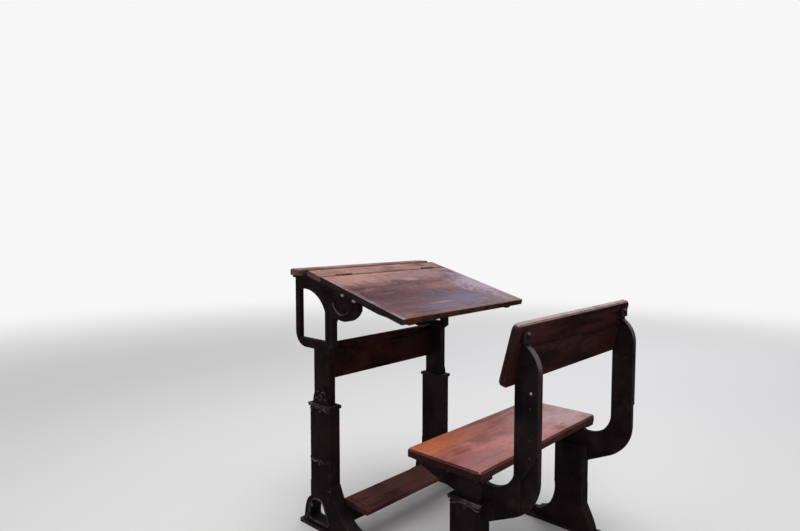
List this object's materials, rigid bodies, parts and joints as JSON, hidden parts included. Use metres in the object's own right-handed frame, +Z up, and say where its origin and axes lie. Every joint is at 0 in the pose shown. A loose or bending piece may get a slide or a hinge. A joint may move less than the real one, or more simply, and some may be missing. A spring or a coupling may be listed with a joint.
{
  "type": "adjustable school desk with seat",
  "caption": "Single pupil's desk with attached seat: iron standards that slide in sockets, sloping wooden flap, plank seat and leaning back board.",
  "frame": {"origin": "on the floor, under the middle of the overall bounding box", "axes": "+Z up, +Y away from the sitter towards the desk's far edge, +X to the sitter's right"},
  "size_m": [0.578, 0.82, 0.766],
  "materials": {
    "base_iron": "worn black paint",
    "desk_iron": "worn black paint",
    "seat_iron": "worn black paint",
    "hinge_metal": "dull and stained",
    "top_wood": "worn varnish",
    "rail_wood": "worn varnish",
    "seat_wood": "worn varnish",
    "back_wood": "worn varnish",
    "low_wood": "worn varnish"
  },
  "bodies": {
    "base": {"runner_left": "base_iron", "runner_right": "base_iron", "desk_foot_left": "base_iron", "desk_foot_right": "base_iron", "seat_foot_left": "base_iron", "seat_foot_right": "base_iron", "foot_rest": "low_wood"},
    "desk": {"desk_standard_left": "desk_iron", "desk_standard_right": "desk_iron", "stretcher_board": "low_wood", "stretcher_clip_left": "desk_iron", "stretcher_clip_right": "desk_iron", "rear_rail": "rail_wood", "pen_tray": "rail_wood", "hinge_rail": "rail_wood", "hinge_fixed_left": "hinge_metal", "hinge_fixed_right": "hinge_metal"},
    "flap": {"flap_board": "top_wood", "flap_edge_left": "top_wood", "flap_edge_right": "top_wood", "flap_batten_left": "top_wood", "flap_batten_right": "top_wood", "hinge_moving_left": "hinge_metal", "hinge_moving_right": "hinge_metal"},
    "seat": {"seat_standard_left": "seat_iron", "seat_standard_right": "seat_iron", "seat_board": "seat_wood"},
    "backrest": {"back_bracket_left": "seat_iron", "back_bracket_right": "seat_iron", "back_board": "back_wood"}
  },
  "joints": [
    {"name": "desk_height", "type": "slide", "parent": "base", "child": "desk", "axis": [0, 0, 1], "range_m": [-0.055, 0.05]},
    {"name": "flap_hinge", "type": "hinge", "parent": "desk", "child": "flap", "pos_m": [0, 0.2764, 0.7498], "axis": [-1, 0, 0], "range_deg": [0, 100]},
    {"name": "seat_height", "type": "slide", "parent": "base", "child": "seat", "axis": [0, 0, 1], "range_m": [0, 0.09]},
    {"name": "backrest_height", "type": "slide", "parent": "seat", "child": "backrest", "axis": [0, 0, 1], "range_m": [0, 0.08]}
  ]
}
